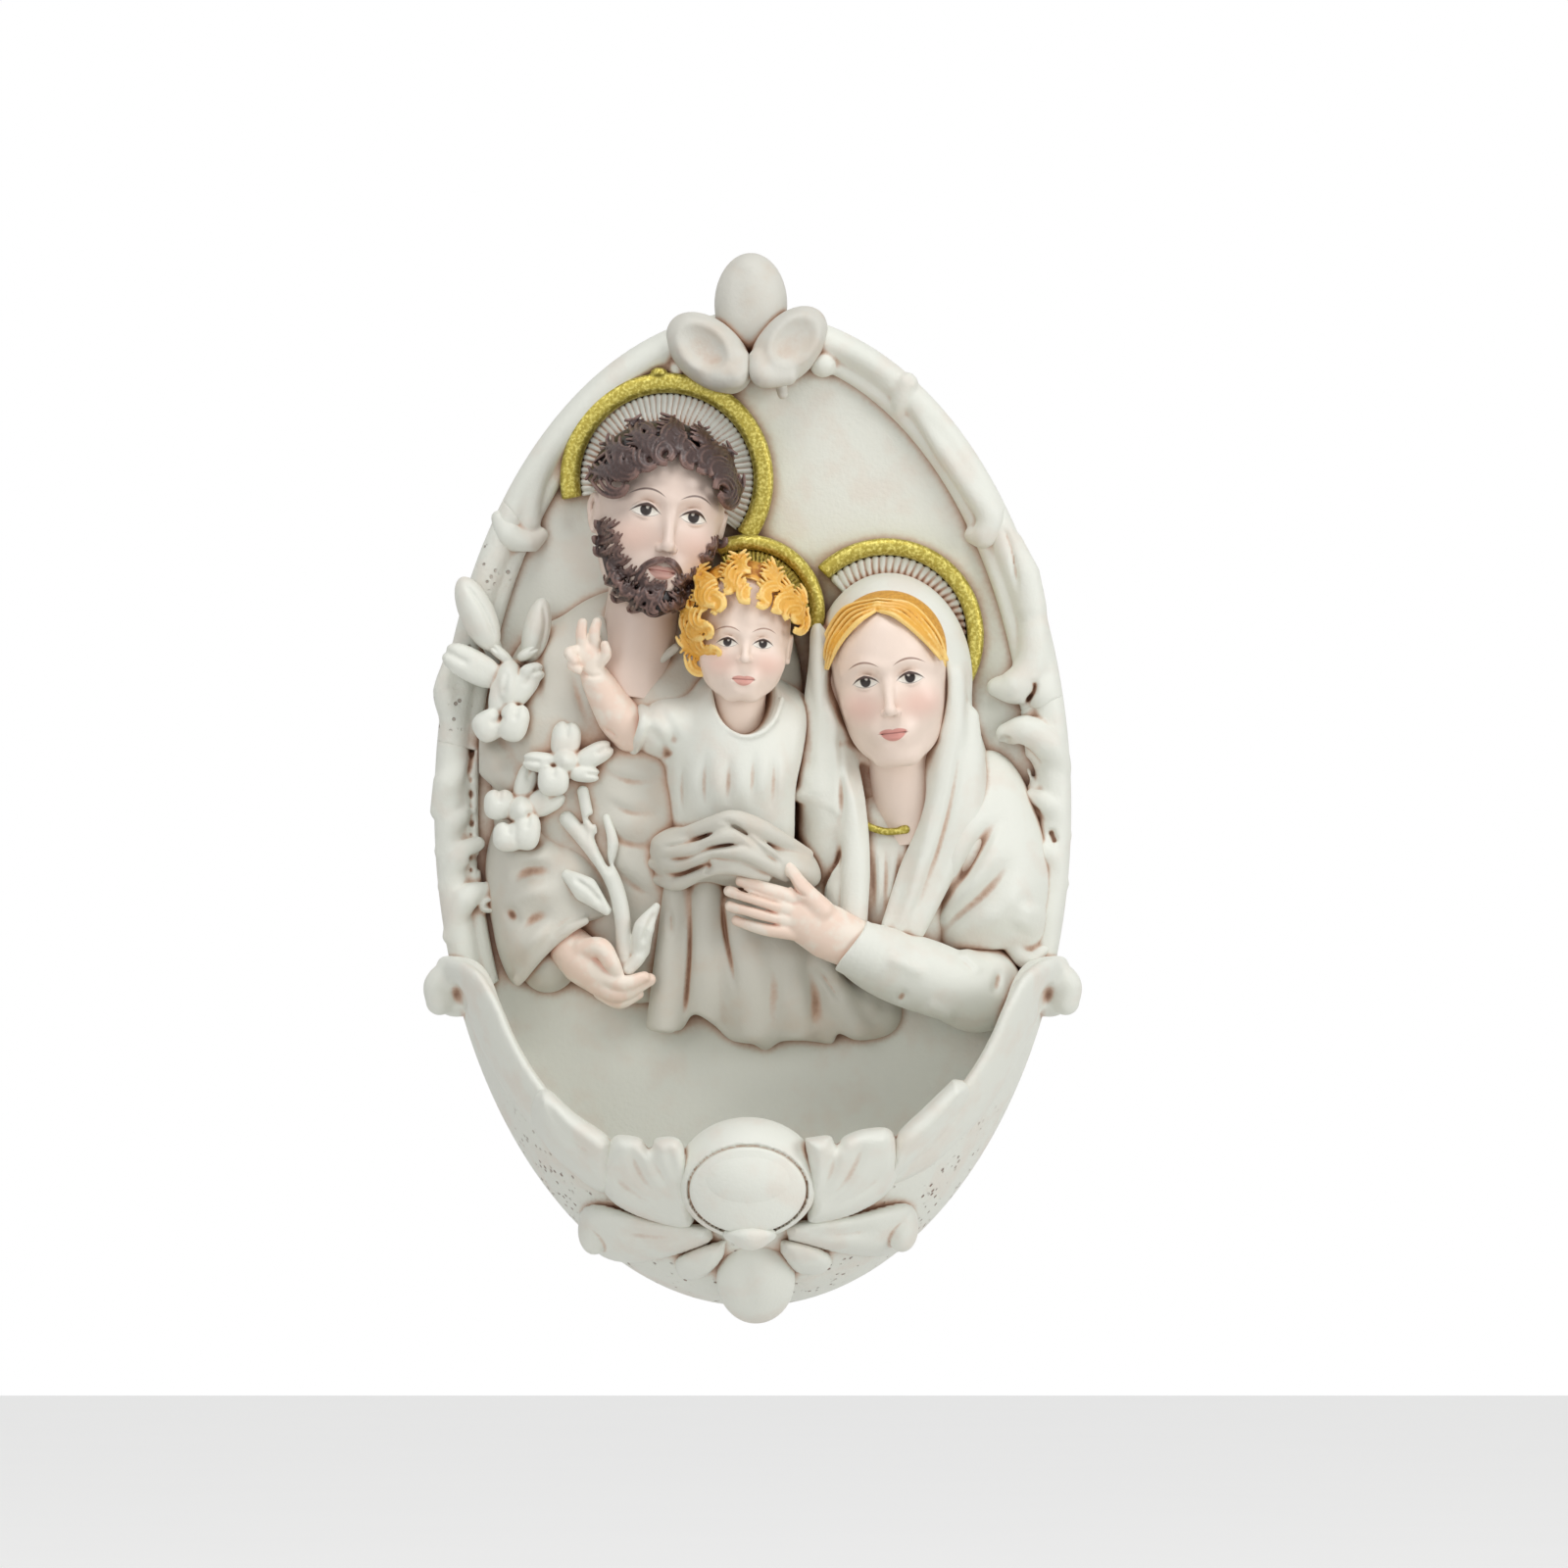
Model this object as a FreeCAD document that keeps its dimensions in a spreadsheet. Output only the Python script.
import FreeCAD, Part

import os

import Sketcher

# Holy water stoup for a wall: an oval plate with a moulded border, a half bowl with a scrolled
# lip, and a bust group of the Holy Family in high relief, cast in stone-filled resin.
# Frame: the back of the plate is the plane Y = 0, the front faces -Y, +Z is up, and the origin
# is the centre of the oval. "out" is measured forwards from the plate's front face.

PART_FOLDER = "parts"

# The driving dimensions, in millimetres and degrees. Each becomes a cell of the sheet.
PLATE = {
    "plate_wide": 98.0,
    "plate_tall": 153.0,
    "floor_thick": 4.0,  # what is left of the plate in front of the recess
    "plate_round": 1.2,
    "border_wide": 6.0,
    "border_proud": 4.2,
    "border_round": 2.0,
    "knob_wide": 4.2,
    "knob_inset": 3.0,
    "knob_out": 1.6,
}
# Where the lengths of border meet, as angles from +X about the centre.
BORDER_BREAKS = {
    "right_foot": -34.0,
    "right_waist": 20.0,
    "right_shoulder": 50.0,
    "right_top": 83.0,
    "left_top": 97.0,
    "left_shoulder": 129.0,
    "left_waist": 168.0,
    "left_foot": 214.0,
}
# Each length of border: the breaks that it runs between, and what lies over it.
BORDERS = {
    "border_right_lower": (
        "right_foot",
        "right_waist",
        "rim_right basin mother_mantle mother_sleeve",
    ),
    "border_right_middle": ("right_waist", "right_shoulder", ""),
    "border_right_upper": ("right_shoulder", "right_top", "crest_right crest_middle"),
    "border_left_upper": (
        "left_top",
        "left_shoulder",
        "crest_left crest_middle father_halo_ring",
    ),
    "border_left_middle": (
        "left_shoulder",
        "left_waist",
        "lily_tall_bud lily_upper_blossom",
    ),
    "border_left_lower": (
        "left_waist",
        "left_foot",
        "rim_left basin lily_upper_blossom lily_lower_blossom",
    ),
}
# Heights on the bowl are measured up from the foot of the plate.
BOWL = {
    "bowl_deep": 47.0,
    "bowl_wall": 5.0,
    "lip_tall": 21.5,
    "lip_corner_tall": 30.5,
    "lip_corner_in": 16.0,
    "lip_overrun": 1.4,  # how far the cut for the mouth runs, the corner to the scroll being 1
    "rim_wide": 5.6,
    "rim_proud": 2.0,
    "scroll_tall": 48.9,
    "scroll_in": 0.2,
    "scroll_wide": 9.8,
    "scroll_proud": 9.5,
    "scroll_eye": 2.6,
    "scroll_eye_deep": 4.0,
    "scroll_round": 2.4,
}
MEDALLION = {
    "medallion_rise": -0.5,  # the centre's height from the middle of the lip
    "medallion_wide": 21.2,
    "medallion_rim": 1.5,
    "medallion_proud": 4.0,
    "medallion_sunk": 6.0,
    "medallion_crown": 1.6,
    "medallion_tilt": 22.0,
    "bead_wide": 8.4,
    "bead_tall": 4.4,
    "bead_deep": 6.0,
}
HANGER = {
    "recess_wide": 17.0,
    "recess_tall": 24.0,
    "recess_deep": 5.0,
    "recess_up": 58.0,
    "recess_round": 3.0,
    "strap_wide": 6.0,
    "strap_long": 10.0,
    "strap_thick": 0.8,
    "wire": 1.8,
    "bar_up": 59.0,
    "loop_wide": 11.5,
    "loop_corner": 1.6,
    "loop_leg": 1.9,
    "pin_gap": 0.06,
    "screw_drop": 4.6,
    "screw_head": 4.0,
    "screw_head_tall": 1.2,
    "screw_slot": 0.6,
    "screw_shank": 2.2,
    "screw_grip": 2.4,
    "screw_gap": 0.03,
    "screw_tip_gap": 0.2,
}
# Each halo: outer radius, width of its ring, centre from the figure's anchor, how proud it
# stands, and the arc that shows, as the angle at which it starts and its sweep.
HALOS = {
    "father_halo": (16.1, 3.1, 1.1, 4.7, 3.8, -35.0, 225.0),
    "child_halo": (12.0, 2.3, 0.6, 3.5, 6.8, -12.0, 126.0),
    "mother_halo": (15.0, 2.6, -1.0, 6.5, 4.0, -36.0, 170.0),
}
HALO_FIELDS = ("radius", "wide", "x", "up", "proud", "start", "sweep")
GLORY = {"glory_drop": 1.6, "halo_round": 0.8}
# The places that the forms of each group are set out from.
ANCHORS = {
    "father_x": -14.0,
    "father_up": 46.0,
    "child_x": -1.5,
    "child_up": 26.5,
    "mother_x": 21.5,
    "mother_up": 20.0,
    "lily_in": 13.0,  # in from the plate's left side
    "lily_up": 5.0,
    "crest_x": -0.3,
}
ANCHOR_FORMULAS = {
    "father": ("father_x", "father_up"),
    "child": ("child_x", "child_up"),
    "mother": ("mother_x", "mother_up"),
    "lily": ("lily_in - plate_wide / 2", "lily_up"),
    "crest": ("crest_x", "plate_tall / 2"),
}
# Rounded forms: width, depth, height, then x, out and up from the anchor, and lean to the right.
FORMS = {
    "father_skull": (18.5, 21.0, 26.0, 0.0, 6.5, 0.0, 8.0),
    "father_neck": (11.0, 11.0, 22.0, 0.5, 5.0, -17.0, 0.0),
    "father_curls": (23.0, 20.0, 18.5, 0.9, 4.4, 6.5, 8.0),
    "father_beard": (13.5, 13.0, 13.0, -1.2, 10.0, -13.0, 8.0),
    "father_chest": (44.0, 19.0, 64.0, -4.0, 0.0, -44.0, 0.0),
    "father_cuff": (22.0, 22.0, 27.0, -15.0, 0.0, -61.0, 15.0),
    "father_palm": (15.5, 8.5, 7.5, -8.0, 8.5, -70.0, 22.0),
    "child_skull": (16.5, 26.0, 20.0, 0.0, 8.5, 0.0, 3.0),
    "child_neck": (8.5, 20.0, 12.0, 0.5, 5.5, -10.5, 0.0),
    "child_curls": (22.0, 25.0, 15.5, 0.3, 6.8, 5.3, 3.0),
    "child_chest": (25.0, 32.0, 31.0, -0.5, 3.0, -19.6, 0.0),
    "child_shoulder": (12.5, 22.0, 10.0, -12.0, 5.0, -14.0, -12.0),
    "child_forearm": (6.5, 7.0, 17.0, -19.8, 10.0, -9.8, -22.0),
    "child_palm": (7.0, 5.5, 8.0, -23.0, 11.0, -2.0, 0.0),
    "child_roll": (26.0, 25.0, 10.5, -1.5, 9.0, -34.0, 8.0),
    "child_skirt": (28.0, 26.0, 31.5, 1.0, 0.0, -47.5, 0.0),
    "mother_skull": (17.5, 19.0, 25.0, 0.0, 7.5, 0.0, -6.0),
    "mother_neck": (10.0, 11.0, 20.0, -0.7, 5.5, -15.0, 0.0),
    "mother_parting": (20.4, 20.0, 17.0, -0.6, 6.2, 6.0, -6.0),
    "mother_hood": (25.0, 21.0, 31.0, 0.2, 3.8, 0.8, -8.0),
    "mother_left_fall": (9.5, 24.0, 42.0, -10.0, 0.0, -19.0, 0.0),
    "mother_right_fall": (13.0, 24.0, 46.0, 9.5, 0.0, -17.0, -12.0),
    "mother_cape": (24.0, 22.0, 36.0, 13.0, 0.0, -29.0, -12.0),
    "mother_chest": (24.0, 19.0, 34.0, 0.0, 0.0, -30.0, 0.0),
    "mother_band": (10.5, 5.0, 2.4, -1.2, 8.2, -23.3, 8.0),
    "mother_forearm": (29.0, 13.0, 11.5, 4.0, 10.0, -45.5, 18.0),
    "mother_elbow": (16.0, 14.0, 13.0, 13.0, 6.0, -48.0, 0.0),
    "mother_palm": (13.0, 7.0, 9.5, -11.5, 14.6, -37.6, 30.0),
    "lily_low_stem": (4.0, 9.0, 32.0, 13.8, 9.0, -17.0, -15.0),
    "lily_top_stem": (4.0, 13.0, 26.0, 5.5, 4.0, 4.0, -34.0),
    "lily_long_leaf": (3.8, 13.4, 12.0, 12.6, 5.6, -18.5, -48.0),
    "lily_tall_leaf": (3.6, 13.0, 12.0, 12.4, 5.4, -10.0, -15.0),
    "lily_low_leaf": (3.6, 14.0, 14.0, 17.6, 5.4, -26.4, 22.0),
    "lily_tall_bud": (5.4, 6.4, 12.0, -5.7, 6.4, 25.0, -28.0),
    "lily_small_bud": (4.6, 9.0, 10.5, 2.9, 4.0, 22.2, 14.0),
    "lily_upper_heart": (7.6, 11.5, 9.0, -1.2, 4.6, 14.4, 0.0),
    "lily_upper_side": (4.8, 6.5, 9.5, -6.6, 7.0, 16.0, -60.0),
    "lily_upper_low": (5.6, 6.0, 7.5, -3.4, 8.2, 8.4, 20.0),
    "lily_upper_front": (5.4, 6.0, 7.5, 0.8, 8.4, 8.2, -12.0),
    "lily_middle_heart": (6.8, 8.0, 7.0, 8.5, 9.6, 2.5, 0.0),
    "lily_middle_top": (5.6, 5.5, 8.0, 7.0, 10.0, 6.6, -10.0),
    "lily_middle_side": (5.2, 5.5, 8.0, 12.2, 10.2, 3.2, 70.0),
    "lily_middle_low": (5.8, 6.5, 6.8, 6.6, 11.0, -1.4, 20.0),
    "lily_lower_heart": (6.8, 13.0, 7.0, 0.0, 5.6, -6.6, 0.0),
    "lily_lower_side": (5.2, 6.0, 8.0, -4.4, 8.0, -4.4, -55.0),
    "lily_lower_low": (5.4, 6.0, 7.0, -1.6, 9.2, -10.8, 20.0),
    "lily_lower_front": (5.4, 6.0, 7.2, 3.0, 9.2, -10.4, -14.0),
    "crest_centre": (11.4, 9.0, 15.8, 0.0, -0.5, 1.0, 0.0),
    "crest_west": (10.0, 9.5, 15.4, -6.4, 2.5, -6.6, -48.0),
    "crest_east": (9.4, 9.5, 14.6, 5.8, 2.5, -5.6, 42.0),
}
FORM_FIELDS = ("wide", "deep", "tall", "x", "out", "up", "lean")
# The sub-parts of the relief, from the front to the back: each one's forms, and the earlier
# sub-parts that lie over it.
RELIEF = {
    "mother_hand": ("mother_palm", ""),
    "child_arm": ("child_forearm child_palm", ""),
    "child_head": ("child_skull child_neck", ""),
    "child_hair": ("child_curls", "child_head"),
    "father_beard": ("father_beard", "child_arm child_head child_hair"),
    "father_head": ("father_skull father_neck", "father_beard child_head child_hair"),
    "father_hair": ("father_curls", "father_head"),
    "father_hand": ("father_palm", ""),
    "lily_upper_blossom": (
        "lily_upper_heart lily_upper_side lily_upper_low lily_upper_front",
        "",
    ),
    "lily_middle_blossom": (
        "lily_middle_heart lily_middle_top lily_middle_side lily_middle_low",
        "child_arm lily_upper_blossom",
    ),
    "lily_lower_blossom": (
        "lily_lower_heart lily_lower_side lily_lower_low lily_lower_front",
        "lily_middle_blossom",
    ),
    "lily_stem": (
        "lily_low_stem lily_top_stem lily_long_leaf lily_tall_leaf lily_low_leaf",
        "father_hand lily_upper_blossom lily_middle_blossom lily_lower_blossom",
    ),
    "lily_tall_bud": ("lily_tall_bud", "lily_upper_blossom"),
    "lily_small_bud": ("lily_small_bud", "lily_upper_blossom"),
    "mother_head": ("mother_skull mother_neck", ""),
    "mother_hair": ("mother_parting", "mother_head"),
    "mother_collar": ("mother_band", "mother_head"),
    "mother_sleeve": ("mother_forearm mother_elbow", "mother_hand rim_right"),
    "swaddling_cloth": ("child_roll", "mother_hand"),
    "child_tunic": (
        "child_chest child_shoulder",
        "child_arm child_head swaddling_cloth mother_hand father_head",
    ),
    "mother_veil": (
        "mother_hood mother_left_fall mother_right_fall",
        "mother_head mother_hair mother_collar mother_sleeve mother_hand child_hair"
        " swaddling_cloth child_tunic",
    ),
    "mother_dress": (
        "mother_chest",
        "mother_head mother_collar mother_sleeve mother_hand swaddling_cloth child_tunic mother_veil",
    ),
    "hanging_cloth": (
        "child_skirt",
        "mother_hand father_hand mother_sleeve swaddling_cloth child_tunic mother_veil mother_dress",
    ),
    "mother_mantle": ("mother_cape", "mother_sleeve mother_veil mother_dress rim_right"),
    "father_sleeve": (
        "father_cuff",
        "father_hand lily_stem lily_middle_blossom lily_lower_blossom",
    ),
    "father_robe": (
        "father_chest",
        "child_arm child_head child_hair father_beard father_head father_hand"
        " lily_upper_blossom lily_middle_blossom lily_lower_blossom lily_stem lily_small_bud"
        " swaddling_cloth child_tunic hanging_cloth father_sleeve",
    ),
}
HALO_MEETS = {
    "child": "child_head child_hair child_tunic mother_veil father_head father_robe",
    "mother": "mother_head mother_hair mother_veil mother_mantle child_halo_ring child_halo_glory",
    "father": "father_head father_hair father_robe child_hair child_halo_ring child_halo_glory"
    " crest_left crest_right",
}
# The digits of the mother's hand, set out from the mother's anchor, and of the child's.
DIGITS = {
    "finger_long": 11.5,
    "finger_thick": 3.2,
    "finger_x": -14.5,
    "finger_out": 15.0,
    "finger_up": -34.4,
    "finger_lean": -74.0,
    "finger_step": 2.4,
    "finger_fan": 4.0,
    "thumb_long": 8.0,
    "thumb_thick": 3.6,
    "thumb_x": -11.5,
    "thumb_out": 15.5,
    "thumb_up": -34.5,
    "thumb_lean": -32.0,
    "blessing_long": 6.4,
    "blessing_thick": 2.6,
    "blessing_x": -22.6,
    "blessing_up": -0.5,
    "blessing_fan": 4.0,
}
FINGER_COUNT = 4
# Leaves of the bowl: the root's distance from the middle and height from the foot of the
# plate, then length, width and lean outwards. Each lies on the left and on the right.
LEAVES = {
    "leaf_fan": (7.8, 19.5, 17.5, 12.5, 78.0),
    "leaf_lip": (17.5, 17.0, 22.5, 9.4, 40.0),
    "leaf_wing": (7.6, 14.6, 18.6, 7.8, 96.0),
    "leaf_small": (4.5, 12.0, 11.0, 5.8, 128.0),
}
LEAF_FIELDS = ("root", "up", "long", "wide", "lean")
LEAF_MEETS = {
    "leaf_fan": "rim",
    "leaf_lip": "rim leaf_fan",
    "leaf_wing": "leaf_fan leaf_lip",
    "leaf_small": "leaf_wing",
}
SINGLE_LEAF = {
    "leaf_proud": 3.4,
    "leaf_bottom_up": 14.5,
    "leaf_bottom_long": 17.0,
    "leaf_bottom_wide": 13.0,
}

# Formulas that several pieces share.
THICK = "(recess_deep + floor_thick)"
FOOT = "(0 - plate_tall / 2)"
LIP_UP = f"({FOOT} + lip_tall)"
SCROLL_UP = f"({FOOT} + scroll_tall)"
SCROLL_X = f"(plate_wide / 2 * sqrt(1 - (2 * {SCROLL_UP} / plate_tall) ^ 2) - scroll_in)"
MEDALLION_UP = f"({LIP_UP} + medallion_rise)"
MEDALLION_OUT = f"(bowl_deep * sqrt(1 - (2 * {MEDALLION_UP} / plate_tall) ^ 2))"
BORE = "(wire / 2 + pin_gap)"
BAR_Y = f"(0 - recess_deep + strap_thick + {BORE})"
STRAP_TOP = "(strap_thick - recess_deep)"
SCREW_UP = "(bar_up - screw_drop)"
SCREW_BORE = "screw_shank / 2 + screw_gap"

doc = FreeCAD.newDocument("Stoup")
sheet = doc.addObject("Spreadsheet::Sheet", "Sizes")
values = {}
pieces = {}
tools = {}


# ---- the sheet and the formulas ---------------------------------------------------------------
def store(alias, number):
    """Writes one driving dimension to the next row of the sheet and names its cell."""
    row = len(values) + 1
    sheet.set(f"A{row}", str(number))
    sheet.setAlias(f"A{row}", alias)
    values[alias] = number


def store_table(table, fields):
    for name, numbers in table.items():
        for field, number in zip(fields, numbers):
            store(f"{name}_{field}", number)


def cell(formula):
    """Turns the names of sizes in a formula into references to the sheet."""
    text = ""
    word = ""
    for letter in formula + " ":
        if letter.isalnum() or letter == "_":
            word += letter
            continue
        text += f"Sizes.{word}" if word in values else word
        text += letter
        word = ""
    return text.strip()


def amount(formula):
    """The present value of a formula, to draw a sketch from."""
    return float(sheet.evalExpression(cell(formula)))


def bind(thing, path, formula):
    thing.setExpression(path, cell(formula))


def front(out):
    """The Y of a place that lies so far out from the plate's front face."""
    return f"0 - {THICK} - ({out})"


def place(thing, x, y, z, lean="0", roll="0"):
    """Places by formulas: roll turns about X first, then lean turns about Y."""
    vector = f"create(<<vector>>; {cell(x)}; {cell(y)}; {cell(z)})"
    turn = f"create(<<rotation>>; 0; {cell(lean)}; {cell(roll)})"
    thing.setExpression("Placement", f"create(<<placement>>; {vector}; {turn})")


# ---- primitives and booleans ------------------------------------------------------------------
def primitive(kind, name, **sizes):
    thing = doc.addObject(f"Part::{kind}", name)
    for path, formula in sizes.items():
        bind(thing, path, formula)
    return thing


def boolean(kind, name, base, tool):
    thing = doc.addObject(f"Part::{kind}", name)
    thing.Base = base
    thing.Tool = tool
    return thing


def join(name, things):
    if len(things) == 1:
        return things[0]
    thing = doc.addObject("Part::MultiFuse", name)
    thing.Shapes = things
    return thing


def block(name, x, y, z, wide, deep, tall):
    thing = primitive("Box", name, Length=wide, Width=deep, Height=tall)
    place(thing, x, y, z)
    return thing


def rod(name, radius, long, x, y, z, lean="0", roll="0"):
    thing = primitive("Cylinder", name, Radius=radius, Height=long)
    place(thing, x, y, z, lean, roll)
    return thing


def forward_rod(name, radius, long, y, z, x="0"):
    """A rod that runs forwards from its end at y."""
    return rod(name, radius, long, x, y, z, roll="90")


def ellipsoid(name, wide, deep, tall, x, out, up, lean="0"):
    """An ellipsoid whose poles face forwards and back. One that stands clear of the plate is
    joined from two halves, so that no closed surface is left whole. The seams of the others
    lie by turns on one side and the other, because two seams that meet spoil a cut."""
    stands_clear = amount(out) > amount(deep) / 2
    seam_turn = 180 * (len(doc.Objects) % 2)
    half_turns = (0, 180) if stands_clear else (seam_turn,)
    halves = []
    radii = {"Radius1": f"({deep}) / 2", "Radius2": f"({wide}) / 2", "Radius3": f"({tall}) / 2"}
    for i, half_turn in enumerate(half_turns):
        thing = primitive("Ellipsoid", f"{name}_{i + 1}", **radii)
        thing.Angle1 = -90
        thing.Angle2 = 90
        thing.Angle3 = 180 if stands_clear else 360
        place(thing, x, front(out), up, f"{lean} + {half_turn}", "90")
        halves.append(thing)
    return join(name, halves)


def form(name):
    """One rounded form of the table, set out from its group's anchor."""
    anchor_x, anchor_up = ANCHOR_FORMULAS[name.split("_")[0]]
    sizes = (f"{name}_wide", f"{name}_deep", f"{name}_tall")
    x = f"{anchor_x} + {name}_x"
    up = f"{anchor_up} + {name}_up"
    return ellipsoid(f"form_{name}", *sizes, x, f"{name}_out", up, f"{name}_lean")


def digit(name, thick, long, x, out, up, lean):
    """A finger: a rod with a round tip, that lean turns from upright."""
    shaft = rod(f"{name}_shaft", f"{thick} / 2", long, x, front(out), up, lean)
    tip = primitive("Sphere", f"{name}_tip", Radius=f"{thick} / 2")
    place(tip, f"{x} + {long} * sin({lean})", front(out), f"{up} + {long} * cos({lean})", f"{lean}")
    return [shaft, tip]


# ---- sketches and bodies ----------------------------------------------------------------------
def new_sketch(body, name, role, drop="0"):
    """A sketch on one of the body's own planes, moved along its normal."""
    sketch = body.newObject("Sketcher::SketchObject", name)
    plane = [feature for feature in body.Origin.OriginFeatures if feature.Role == role][0]
    sketch.AttachmentSupport = [(plane, "")]
    sketch.MapMode = "FlatFace"
    bind(sketch, "AttachmentOffset.Base.z", drop)
    return sketch


def constrain(sketch, formula, *terms):
    """Adds a constraint whose value is the formula's."""
    index = sketch.addConstraint(Sketcher.Constraint(*terms, amount(formula)))
    bind(sketch, f"Constraints[{index}]", formula)


def draw(sketch, corners, bulges=()):
    """A closed outline through corners, counter-clockwise. An edge with a bulge is an arc that
    stands that far off its chord, on the outer side."""
    bulges = dict(bulges)
    points = [FreeCAD.Vector(amount(x), amount(y), 0) for x, y in corners]
    count = len(corners)
    for i, (start, end) in enumerate(zip(points, points[1:] + points[:1])):
        if i in bulges:
            along = (end - start).normalize()
            outwards = FreeCAD.Vector(along.y, -along.x, 0)
            middle = (start + end) * 0.5 + outwards * amount(bulges[i])
            sketch.addGeometry(Part.Arc(start, middle, end), False)
        else:
            sketch.addGeometry(Part.LineSegment(start, end), False)
    for i, (x, y) in enumerate(corners):
        after_x, after_y = corners[(i + 1) % count]
        sketch.addConstraint(Sketcher.Constraint("Coincident", i, 2, (i + 1) % count, 1))
        constrain(sketch, x, "DistanceX", -1, 1, i, 1)
        constrain(sketch, y, "DistanceY", -1, 1, i, 1)
        if i in bulges:
            chord = f"((({after_x}) - ({x})) ^ 2 + (({after_y}) - ({y})) ^ 2)"
            radius = f"({chord} / 4 + ({bulges[i]}) ^ 2) / (2 * ({bulges[i]}))"
            constrain(sketch, radius, "Radius", i)


def draw_oval(sketch, wide, tall):
    """An ellipse about the sketch's origin, held by its two axes."""
    top = FreeCAD.Vector(0, amount(tall) / 2, 0)
    side = FreeCAD.Vector(amount(wide) / 2, 0, 0)
    oval = sketch.addGeometry(Part.Ellipse(top, side, FreeCAD.Vector(0, 0, 0)), False)
    sketch.exposeInternalGeometry(oval)
    sketch.addConstraint(Sketcher.Constraint("Coincident", oval, 3, -1, 1))
    sketch.addConstraint(Sketcher.Constraint("Vertical", oval + 1))
    constrain(sketch, tall, "Distance", oval + 1, 1, oval + 1, 2)
    constrain(sketch, wide, "Distance", oval + 2, 1, oval + 2, 2)


def add_pad(body, name, sketch, length):
    feature = body.newObject("PartDesign::Pad", name)
    feature.Profile = sketch
    bind(feature, "Length", length)
    doc.recompute()


def ring_profile(inner, outer, low, high):
    """The corners of a ring's section, counter-clockwise."""
    return [(inner, low), (outer, low), (outer, high), (inner, high)]


def turn_profile(name, corners, sweep="360"):
    """A body turned about its own Y axis, counter-clockwise from +X as the front is seen."""
    body = doc.addObject("PartDesign::Body", f"{name}_body")
    sketch = new_sketch(body, f"{name}_profile", "XY_Plane")
    draw(sketch, corners)
    turn = body.newObject("PartDesign::Revolution", f"{name}_turn")
    turn.Profile = sketch
    turn.ReferenceAxis = (sketch, ["V_Axis"])
    turn.Reversed = True
    bind(turn, "Angle", sweep)
    doc.recompute()
    return body


def round_edges(body, name, radius, chosen):
    """Fillets the edges of the body's last feature that the test picks."""
    base = body.Tip
    edges = [f"Edge{i + 1}" for i, edge in enumerate(base.Shape.Edges) if chosen(edge)]
    feature = body.newObject("PartDesign::Fillet", name)
    feature.Base = (base, edges)
    bind(feature, "Radius", radius)
    doc.recompute()


def lies_at(edge, y):
    """True for an edge that lies wholly in one plane across Y."""
    box = edge.BoundBox
    return abs(box.YMin - y) < 1e-4 and abs(box.YMax - y) < 1e-4


# ---- seating ----------------------------------------------------------------------------------
def keep(label, thing):
    """Labels a finished sub-part."""
    thing.Label = label
    pieces[label] = thing
    doc.recompute()


def seat(label, thing, meets="", tool=None):
    """Cuts a sub-part back to the earlier ones that it meets, so that it lies against them and
    nothing is shared. tool is the shape that later sub-parts are cut back by."""
    tools[label] = tool or thing
    for name in meets.split():
        thing = boolean("Cut", f"{label}_on_{name}", thing, tools[name])
    keep(label, thing)


def relief(label, forms, meets):
    """A sub-part of the relief: its forms joined, clipped at the plate and seated."""
    whole = join(f"{label}_whole", forms)
    doc.recompute()
    in_front = whole
    if whole.Shape.BoundBox.YMax > amount(front("0")):
        in_front = boolean("Common", f"{label}_in_front", whole, front_space)
    seat(label, in_front, meets, whole)


# ---- the plate, with the recess for its hanger ------------------------------------------------
def make_plate():
    body = doc.addObject("PartDesign::Body", "plate_body")
    outline = new_sketch(body, "plate_outline", "XZ_Plane")
    draw_oval(outline, "plate_wide", "plate_tall")
    add_pad(body, "plate_pad", outline, THICK)
    round_edges(body, "plate_rounds", "plate_round", lambda edge: lies_at(edge, 0))
    half = "recess_wide / 2"
    low = "recess_up - recess_tall / 2"
    recess = new_sketch(body, "recess_outline", "XZ_Plane")
    draw(
        recess,
        [
            (f"0 - {half}", low),
            (half, low),
            (half, f"{low} + recess_tall"),
            (f"0 - {half}", f"{low} + recess_tall"),
        ],
    )
    pocket = body.newObject("PartDesign::Pocket", "recess_pocket")
    pocket.Profile = recess
    pocket.Reversed = True
    bind(pocket, "Length", "recess_deep")
    doc.recompute()
    side = amount(half)
    round_edges(
        body,
        "recess_rounds",
        "min(recess_round; 0.45 * recess_wide; 0.45 * recess_tall)",
        lambda edge: abs(abs(edge.BoundBox.XMin) - side) < 1e-4
        and edge.BoundBox.XLength < 1e-4
        and edge.BoundBox.ZLength < 1e-4,
    )
    bore_long = "screw_grip + screw_tip_gap"
    bore = forward_rod("pilot_bore", SCREW_BORE, bore_long, "0 - recess_deep", SCREW_UP)
    keep("plate", boolean("Cut", "plate_bored", body, bore))


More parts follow.
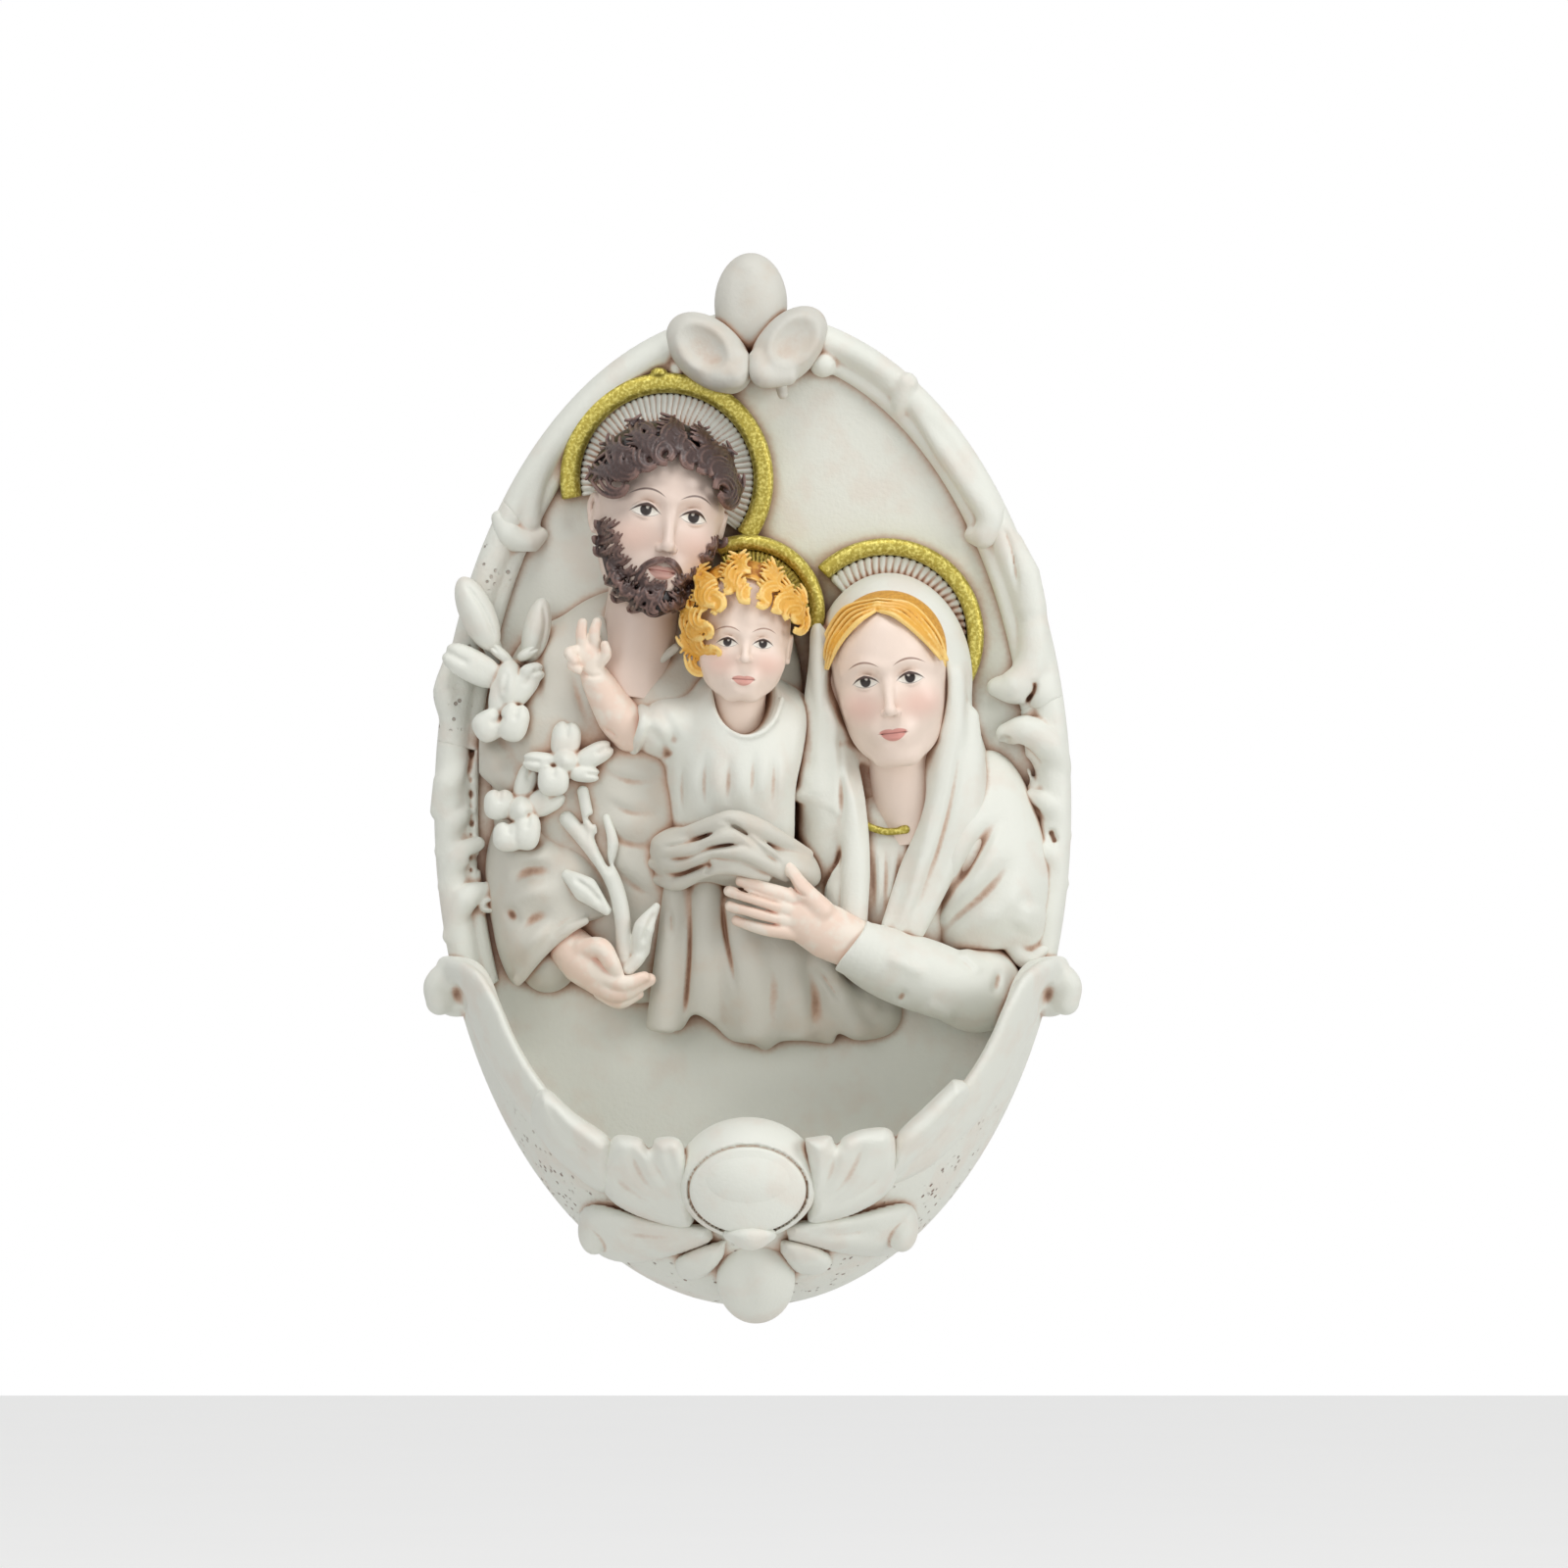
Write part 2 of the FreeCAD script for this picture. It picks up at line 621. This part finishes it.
# ---- the hanger: a rolled strap, a D-shaped wire and one screw --------------------------------
def make_strap():
    left = "0 - strap_wide / 2"
    low = "bar_up - strap_long"
    sizes = ("strap_wide", "strap_thick", "strap_long")
    tongue = block("strap_tongue", left, "0 - recess_deep", low, *sizes)
    roll_start = (left, BAR_Y, "bar_up")
    roll = rod("strap_roll", f"{BORE} + strap_thick", "strap_wide", *roll_start, lean="90")
    bore_start = ("0 - 1.5 * strap_wide", BAR_Y, "bar_up")
    bore = rod("strap_bore", BORE, "3 * strap_wide", *bore_start, lean="90")
    hole_front = f"{STRAP_TOP} + strap_thick / 2"
    hole = forward_rod("strap_hole", SCREW_BORE, "2 * strap_thick", hole_front, SCREW_UP)
    solid = join("strap_solid", [tongue, roll])
    keep("hanger_strap", boolean("Cut", "strap_drilled", solid, join("strap_holes", [bore, hole])))


def make_ring():
    """A straight bar, two bends, two legs and an arch of one wire."""
    corner_x = "(loop_wide / 2 - loop_corner)"
    corner_up = "bar_up + loop_corner"
    bar_start = (f"0 - {corner_x}", BAR_Y, "bar_up")
    parts = [rod("ring_bar", "wire / 2", f"2 * {corner_x}", *bar_start, lean="90")]
    for name, side, turn in (("left", -1, "-180"), ("right", 1, "90")):
        leg_foot = (f"{side} * loop_wide / 2", BAR_Y, corner_up)
        parts.append(rod(f"ring_{name}_leg", "wire / 2", "loop_leg", *leg_foot))
        bend = primitive("Torus", f"ring_{name}_bend", Radius1="loop_corner", Radius2="wire / 2")
        bend.Angle3 = 90
        place(bend, f"{side} * {corner_x}", BAR_Y, corner_up, turn, "90")
        parts.append(bend)
    arch = primitive("Torus", "ring_arch", Radius1="loop_wide / 2", Radius2="wire / 2")
    arch.Angle3 = 180
    place(arch, "0", BAR_Y, f"{corner_up} + loop_leg", "0", "90")
    keep("hanger_ring", join("ring_wire", parts + [arch]))


def make_screw():
    top = f"{STRAP_TOP} + screw_head_tall"
    shank_long = "strap_thick + screw_grip"
    head = forward_rod("screw_pan", "screw_head / 2", "screw_head_tall", top, SCREW_UP)
    shank = forward_rod("screw_stem", "screw_shank / 2", shank_long, STRAP_TOP, SCREW_UP)
    slot_corner = ("0 - screw_head", f"{top} - screw_head_tall / 2", f"{SCREW_UP} - screw_slot / 2")
    slot = block("screw_cut", *slot_corner, "2 * screw_head", "screw_head_tall", "screw_slot")
    keep("hanger_screw", boolean("Cut", "screw_slotted", join("screw_solid", [head, shank]), slot))


# ---- the bowl and its lip ---------------------------------------------------------------------
def bowl_form(name, grow):
    """The plate's oval swept forwards into half an ellipsoid, grown by an amount all round."""
    wide = f"plate_wide + 2 * ({grow})"
    deep = f"2 * (bowl_deep + {grow})"
    tall = f"plate_tall + 2 * ({grow})"
    return boolean("Common", name, ellipsoid(f"{name}_form", wide, deep, tall, "0", "0", "0"), front_space)


def make_mouth():
    """The open space over the lip and the same space grown by the rim, both run forwards.
    Seen from the front, steep sides fall from the scrolls to a shallow arc."""
    corner_x = "(plate_wide / 2 - lip_corner_in)"
    corner_up = f"({FOOT} + lip_corner_tall)"
    end_x = f"{corner_x} + lip_overrun * ({SCROLL_X} - {corner_x})"
    end_up = f"{corner_up} + lip_overrun * ({SCROLL_UP} - {corner_up})"
    sketch = doc.addObject("Sketcher::SketchObject", "mouth_outline")
    place(sketch, "0", "0", "0", roll="90")
    draw(
        sketch,
        [
            (f"0 - ({end_x})", end_up),
            (f"0 - {corner_x}", corner_up),
            (corner_x, corner_up),
            (end_x, end_up),
            ("plate_wide", "plate_tall"),
            ("0 - plate_wide", "plate_tall"),
        ],
        {1: "lip_corner_tall - lip_tall"},
    )
    grown = doc.addObject("Part::Offset2D", "mouth_grown")
    grown.Source = sketch
    grown.Join = "Intersection"
    bind(grown, "Value", "rim_wide")
    spaces = []
    for name, outline in (("mouth_space", sketch), ("rim_space", grown)):
        space = doc.addObject("Part::Extrusion", name)
        space.Base = outline
        space.DirMode = "Custom"
        space.Dir = FreeCAD.Vector(0, -1, 0)
        space.Solid = True
        bind(space, "LengthFwd", "4 * bowl_deep")
        spaces.append(space)
    return spaces


def make_scroll(name, side):
    """The curl that ends the lip: a rounded boss with a sunk eye."""
    corners = [
        ("0", "0 - scroll_proud"),
        ("scroll_wide / 2", "0 - scroll_proud"),
        ("scroll_wide / 2", "0"),
        ("0", "0"),
    ]
    body = turn_profile(name, corners)
    front_y = -amount("scroll_proud")
    radius = "min(scroll_round; 0.45 * scroll_wide; 0.9 * scroll_proud)"
    round_edges(body, f"{name}_rounds", radius, lambda edge: lies_at(edge, front_y))
    x = f"{side} * {SCROLL_X}"
    place(body, x, front("0"), SCROLL_UP)
    eye_y = front("scroll_proud - scroll_eye_deep")
    eye_long = "2 * scroll_eye_deep"
    eye = forward_rod(f"{name}_eye", "scroll_eye / 2", eye_long, eye_y, SCROLL_UP, x)
    return boolean("Cut", f"{name}_drilled", body, eye)


def make_bowl():
    mouth_space, rim_space = make_mouth()
    outer = bowl_form("bowl_outer", "0")
    inner = bowl_form("bowl_inner", "0 - bowl_wall")
    shell = boolean("Cut", "bowl_shell", outer, inner)
    seat("basin", boolean("Cut", "basin_shell", shell, rim_space), "medallion")
    proud = boolean("Cut", "rim_shell", bowl_form("rim_outer", "rim_proud"), inner)
    strip = boolean("Cut", "rim_strip_space", rim_space, mouth_space)
    rim = boolean("Common", "rim_strip", proud, strip)
    deep = "4 * bowl_deep"
    for name, side, edge in (("left", -1, "0 - plate_wide"), ("right", 1, "0")):
        half = block(f"rim_{name}_side", edge, f"0 - {deep}", FOOT, "plate_wide", deep, "plate_tall")
        length = boolean("Common", f"rim_{name}_length", rim, half)
        whole = join(f"rim_{name}_whole", [length, make_scroll(f"scroll_{name}", side)])
        seat(f"rim_{name}", whole, "medallion")


# ---- ornaments of the bowl --------------------------------------------------------------------
def make_medallion():
    """A crowned disc in a ring, across the middle of the lip, with a bead at its foot."""
    rim_radius = "medallion_wide / 2"
    disc_radius = f"({rim_radius} - medallion_rim)"
    low = "medallion_sunk"
    high = "0 - medallion_proud"
    crown = f"{high} - medallion_crown"
    bead_out = f"medallion_proud * cos(medallion_tilt) - {disc_radius} * sin(medallion_tilt)"
    bead_drop = f"medallion_proud * sin(medallion_tilt) + {disc_radius} * cos(medallion_tilt)"
    sizes = ("bead_wide", "bead_deep", "bead_tall")
    bead_place = ("0", f"{MEDALLION_OUT} + {bead_out}", f"{MEDALLION_UP} - ({bead_drop})")
    seat("medallion_bead", ellipsoid("bead_form", *sizes, *bead_place))
    outlines = {
        "medallion_ring": ring_profile(disc_radius, rim_radius, high, low),
        "medallion_disc": [("0", crown), *ring_profile("0", disc_radius, high, low)[1:]],
        "medallion": ring_profile("0", rim_radius, high, low),
    }
    for name, corners in outlines.items():
        tools[name] = turn_profile(name, corners)
        place(tools[name], "0", front(MEDALLION_OUT), MEDALLION_UP, roll="medallion_tilt")
    for name in ("medallion_ring", "medallion_disc"):
        seat(name, tools[name], "medallion_bead")


def make_leaf(name, leaf_shell, x, up, size, lean, meets):
    """A leaf between two arcs, bent to the bowl: what of it lies in a thin shell on the bowl."""
    body = doc.addObject("PartDesign::Body", f"{name}_body")
    sketch = new_sketch(body, f"{name}_outline", "XZ_Plane")
    half = f"{size}_wide / 2"
    draw(sketch, [("0", "0"), ("0", f"{size}_long")], {0: half, 1: half})
    add_pad(body, f"{name}_pad", sketch, "2 * bowl_deep")
    place(body, x, front("0"), f"{FOOT} + {up}", lean)
    seat(name, boolean("Common", f"{name}_bent", body, leaf_shell), f"medallion {meets}", body)


def make_leaves():
    outer = bowl_form("leaf_outer", "leaf_proud")
    leaf_shell = boolean("Cut", "leaf_shell", outer, bowl_form("leaf_inner", "0"))
    for name, meets in LEAF_MEETS.items():
        for side_name, side in (("left", -1), ("right", 1)):
            neighbours = " ".join(f"{other}_{side_name}" for other in meets.split())
            x = f"{side} * {name}_root"
            lean = f"{side} * {name}_lean"
            make_leaf(f"{name}_{side_name}", leaf_shell, x, f"{name}_up", name, lean, neighbours)
    smalls = "medallion_bead leaf_small_left leaf_small_right"
    make_leaf("leaf_bottom", leaf_shell, "0", "leaf_bottom_up", "leaf_bottom", "180", smalls)


# ---- fingers and the crest --------------------------------------------------------------------
def make_mother_digits():
    """Four alike fingers, each a step lower than the last and fanned a little more, and a thumb."""
    digits = []
    for i in range(FINGER_COUNT):
        up = f"(mother_up + finger_up - {i} * finger_step)"
        lean = f"(finger_lean - {i} * finger_fan)"
        x = "(mother_x + finger_x)"
        digits += digit(f"finger_{i + 1}", "finger_thick", "finger_long", x, "finger_out", up, lean)
    thumb_place = ("(mother_x + thumb_x)", "thumb_out", "(mother_up + thumb_up)", "thumb_lean")
    return digits + digit("thumb", "thumb_thick", "thumb_long", *thumb_place)


def make_child_digits():
    """The raised fingers of the child's hand, side by side."""
    digits = []
    for i, side in enumerate((-1, 1)):
        x = f"(child_x + blessing_x + {side} * blessing_thick / 2)"
        lean = f"(child_palm_lean + {side} * blessing_fan)"
        place_at = (x, "child_palm_out", "(child_up + blessing_up)", lean)
        digits += digit(f"blessing_{i + 1}", "blessing_thick", "blessing_long", *place_at)
    return digits


def make_crest():
    """Three petals that lap over the plate's upper edge, the outer two in front."""
    petals = {
        "crest_left": ("crest_west", ""),
        "crest_right": ("crest_east", "crest_left"),
        "crest_middle": ("crest_centre", "crest_left crest_right"),
    }
    for label, (name, meets) in petals.items():
        petal = form(name)
        seat(label, boolean("Cut", f"{label}_on_plate", petal, pieces["plate"]), meets, petal)


# ---- halos ------------------------------------------------------------------------------------
def make_halo(figure, meets):
    """A ring with rounded front edges, and inside it a lower disc that carries the rays."""
    key = f"{figure}_halo"
    anchor_x, anchor_up = ANCHOR_FORMULAS[figure]
    inner = f"{key}_radius - {key}_wide"
    high = f"0 - {key}_proud"
    ring_corners = ring_profile(inner, f"{key}_radius", high, "0")
    ring = turn_profile(f"{key}_ring", ring_corners, f"{key}_sweep")
    front_y = -amount(f"{key}_proud")
    radius = f"min(halo_round; 0.45 * {key}_wide; 0.9 * {key}_proud)"
    round_edges(
        ring,
        f"{key}_rounds",
        radius,
        lambda edge: lies_at(edge, front_y) and edge.Curve.TypeId == "Part::GeomCircle",
    )
    glory_corners = ring_profile("0", inner, f"{high} + glory_drop", "0")
    glory = turn_profile(f"{key}_glory", glory_corners, f"{key}_sweep")
    for name, body in (("ring", ring), ("glory", glory)):
        place(body, f"{anchor_x} + {key}_x", front("0"), f"{anchor_up} + {key}_up", f"0 - {key}_start")
        seat(f"{key}_{name}", body, meets)


# ---- the border: one half-round ring, parted into six lengths ---------------------------------
def make_knob(name, angle):
    """The curled end of a length of border, at an angle about the centre."""
    half_wide = "(plate_wide / 2 - border_wide)"
    half_tall = "(plate_tall / 2 - border_wide)"
    around = f"atan2({half_wide} * sin({angle}); {half_tall} * cos({angle}))"
    knob = primitive("Sphere", f"{name}_knob", Radius="knob_wide / 2")
    x = f"{half_wide} * cos({around})"
    place(knob, x, front("knob_out"), f"{half_tall} * sin({around})")
    return boolean("Cut", f"{name}_on_plate", knob, pieces["plate"])


def make_borders():
    ring = doc.addObject("PartDesign::Body", "border_ring")
    outline = new_sketch(ring, "border_outline", "XZ_Plane", THICK)
    draw_oval(outline, "plate_wide", "plate_tall")
    draw_oval(outline, "plate_wide - 2 * border_wide", "plate_tall - 2 * border_wide")
    add_pad(ring, "border_pad", outline, "border_proud")
    front_y = -amount(f"{THICK} + border_proud")
    radius = "min(border_round; 0.45 * border_wide; 0.9 * border_proud)"
    round_edges(ring, "border_rounds", radius, lambda edge: lies_at(edge, front_y))
    for label, (start, end, meets) in BORDERS.items():
        wedge = primitive("Cylinder", f"{label}_wedge", Radius="plate_tall", Height=f"4 * {THICK}")
        bind(wedge, "Angle", f"{end} - {start}")
        place(wedge, "0", "0", "0", f"0 - {start}", "90")
        length = boolean("Common", f"{label}_length", ring, wedge)
        if "upper" in label:
            first = make_knob(f"{label}_first", f"({start} + knob_inset)")
            last = make_knob(f"{label}_last", f"({end} - knob_inset)")
            length = join(f"{label}_whole", [length, first, last])
        seat(label, length, meets)


for group in (PLATE, BORDER_BREAKS, BOWL, MEDALLION, HANGER, GLORY, ANCHORS, DIGITS, SINGLE_LEAF):
    for alias, number in group.items():
        store(alias, number)
store_table(HALOS, HALO_FIELDS)
store_table(FORMS, FORM_FIELDS)
store_table(LEAVES, LEAF_FIELDS)
doc.recompute()

deep = "4 * bowl_deep"
corner = ("0 - plate_wide", front(deep), "0 - plate_tall")
front_space = block("front_space", *corner, "2 * plate_wide", deep, "2 * plate_tall")
make_plate()
make_strap()
make_ring()
make_screw()
make_medallion()
make_bowl()
make_leaves()
for label, (names, meets) in RELIEF.items():
    forms = [form(name) for name in names.split()]
    if label == "mother_hand":
        forms += make_mother_digits()
    if label == "child_arm":
        forms += make_child_digits()
    relief(label, forms, meets)
make_crest()
for figure, meets in HALO_MEETS.items():
    make_halo(figure, meets)
make_borders()

# ---- checks and files -------------------------------------------------------------------------
doc.recompute()
for thing in doc.Objects:
    if "Invalid" in thing.State or "Error" in thing.State:
        raise RuntimeError(f"{thing.Name} failed: {thing.State}")
for label, thing in pieces.items():
    if thing.Shape.isNull() or not thing.Shape.isValid() or not thing.Shape.Solids:
        raise RuntimeError(f"{label} is not a valid solid")
os.makedirs(PART_FOLDER, exist_ok=True)
for label, thing in pieces.items():
    thing.Shape.exportStep(f"{PART_FOLDER}/{label}.step")
    print(f"{label}: {len(thing.Shape.Solids)} solid, {thing.Shape.Volume:.1f} mm3")
print(f"{len(pieces)} sub-parts")
